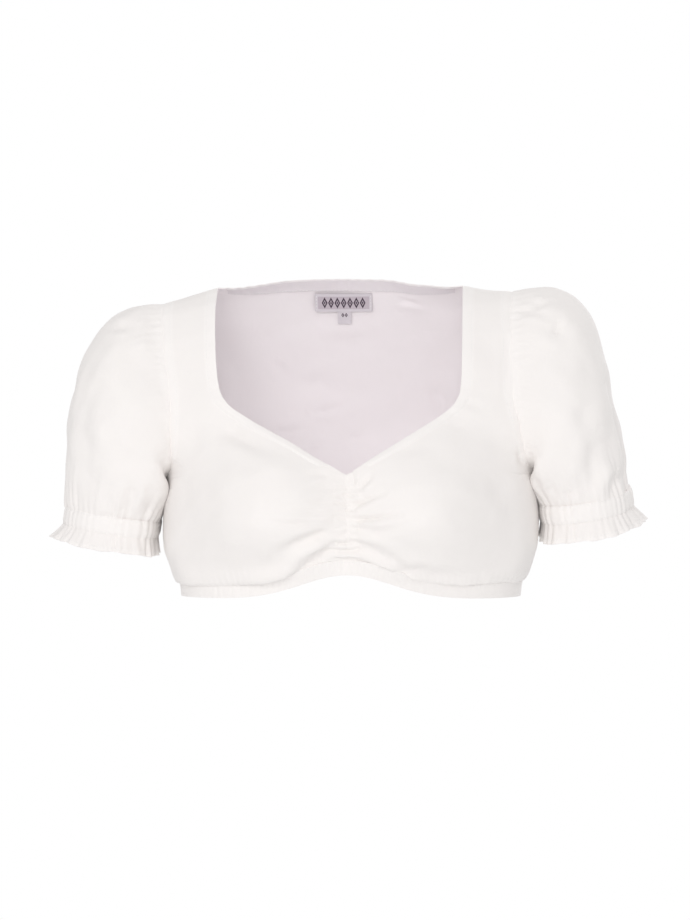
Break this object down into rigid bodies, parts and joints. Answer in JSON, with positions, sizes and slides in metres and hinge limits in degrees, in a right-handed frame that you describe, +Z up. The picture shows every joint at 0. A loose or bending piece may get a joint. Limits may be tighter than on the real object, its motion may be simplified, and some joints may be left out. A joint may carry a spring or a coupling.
{
  "type": "dirndl blouse",
  "caption": "Short white folk blouse with a sweetheart neck, ruched centre front, wide straps, puff sleeves with elastic cuffs and ruffles, and an elastic hem, in the hollow form it is worn in.",
  "frame": {"origin": "midway between the two shoulder tips, at the height of the neck points of the shoulder seams, where the wearer's shoulders carry the blouse", "axes": "+Z up as worn, +X to the wearer's left, -Y out of the front"},
  "size_m": [0.5043, 0.2383, 0.2678],
  "materials": {
    "cloth": "matt white cotton",
    "label": "woven label"
  },
  "bodies": {
    "root": {"front_left": "cloth", "front_right": "cloth", "centre_strip": "cloth", "neck_facing_left": "cloth", "neck_facing_right": "cloth", "back": "cloth", "back_neck_casing": "cloth", "hem_casing_front": "cloth", "hem_casing_back": "cloth", "sleeve_left": "cloth", "sleeve_right": "cloth", "cuff_casing_left": "cloth", "cuff_casing_right": "cloth", "cuff_ruffle_left": "cloth", "cuff_ruffle_right": "cloth", "label": "label", "size_tag": "label"}
  },
  "joints": []
}
